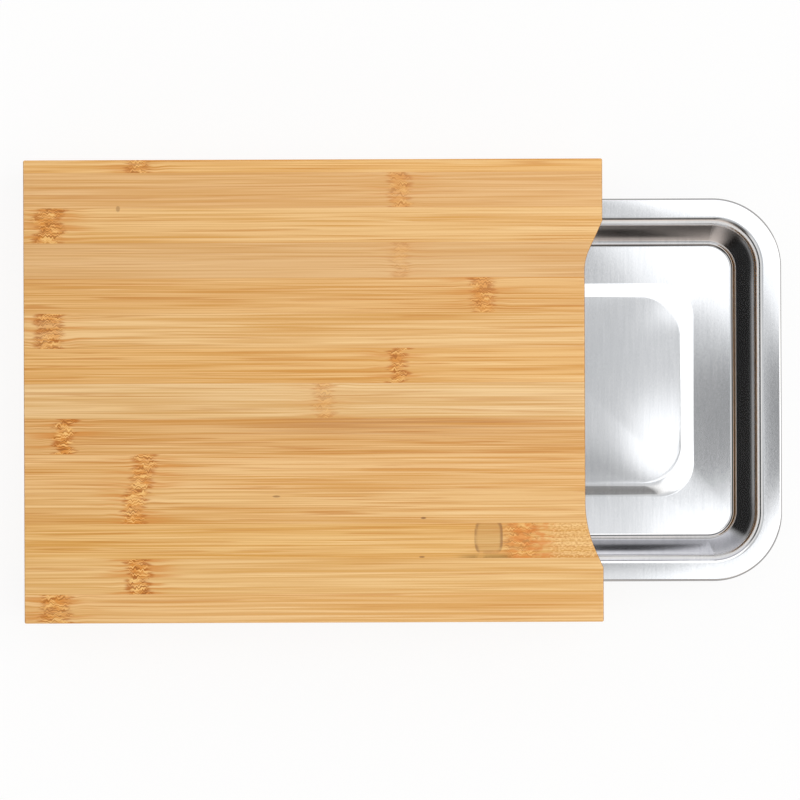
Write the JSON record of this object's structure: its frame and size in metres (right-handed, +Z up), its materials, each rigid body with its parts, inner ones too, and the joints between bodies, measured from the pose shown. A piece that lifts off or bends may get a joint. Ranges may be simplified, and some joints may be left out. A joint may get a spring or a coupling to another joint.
{
  "type": "chopping board with pull-out tray",
  "caption": "Laminated bamboo chopping board on side rails, with a finger recess in one end and a pressed stainless-steel tray that slides out from under it on two runners.",
  "frame": {"origin": "on the worktop, under the middle of the board and its drawn-out tray", "axes": "+X along the staves, the way the tray comes out; +Y towards the board's far edge; +Z up"},
  "size_m": [0.526, 0.32, 0.067],
  "materials": {
    "bamboo_face": "oiled satin",
    "bamboo_core": "oiled satin",
    "bamboo_rail": "oiled satin",
    "stainless_steel": "satin base and rim, bright walls",
    "rubber": "matte",
    "zinc_steel": "zinc plated"
  },
  "bodies": {
    "board": {"top_stave_01": "bamboo_face", "top_stave_02": "bamboo_face", "top_stave_03": "bamboo_face", "top_stave_04": "bamboo_face", "top_stave_05": "bamboo_face", "top_stave_06": "bamboo_face", "top_stave_07": "bamboo_face", "top_stave_08": "bamboo_face", "top_stave_09": "bamboo_face", "top_stave_10": "bamboo_face", "top_stave_11": "bamboo_face", "top_stave_12": "bamboo_face", "top_stave_13": "bamboo_face", "top_stave_14": "bamboo_face", "core_slat_01": "bamboo_core", "core_slat_02": "bamboo_core", "core_slat_03": "bamboo_core", "core_slat_04": "bamboo_core", "core_slat_05": "bamboo_core", "core_slat_06": "bamboo_core", "core_slat_07": "bamboo_core", "core_slat_08": "bamboo_core", "core_slat_09": "bamboo_core", "core_slat_10": "bamboo_core", "core_slat_11": "bamboo_core", "core_slat_12": "bamboo_core", "core_slat_13": "bamboo_core", "core_slat_14": "bamboo_core", "core_slat_15": "bamboo_core", "core_slat_16": "bamboo_core", "core_slat_17": "bamboo_core", "bottom_stave_01": "bamboo_face", "bottom_stave_02": "bamboo_face", "bottom_stave_03": "bamboo_face", "bottom_stave_04": "bamboo_face", "bottom_stave_05": "bamboo_face", "bottom_stave_06": "bamboo_face", "bottom_stave_07": "bamboo_face", "bottom_stave_08": "bamboo_face", "bottom_stave_09": "bamboo_face", "bottom_stave_10": "bamboo_face", "bottom_stave_11": "bamboo_face", "bottom_stave_12": "bamboo_face", "bottom_stave_13": "bamboo_face", "bottom_stave_14": "bamboo_face", "far_side_rail": "bamboo_rail", "near_side_rail": "bamboo_rail", "far_runner": "bamboo_rail", "near_runner": "bamboo_rail", "rear_rail": "bamboo_rail", "foot_1": "rubber", "foot_2": "rubber", "foot_3": "rubber", "foot_4": "rubber", "rail_screws": "zinc_steel", "foot_screws": "zinc_steel"},
    "tray": {"tray": "stainless_steel"}
  },
  "joints": [
    {"name": "tray_slide", "type": "slide", "parent": "board", "child": "tray", "axis": [1, 0, 0], "range_m": [-0.126, 0.174]}
  ]
}
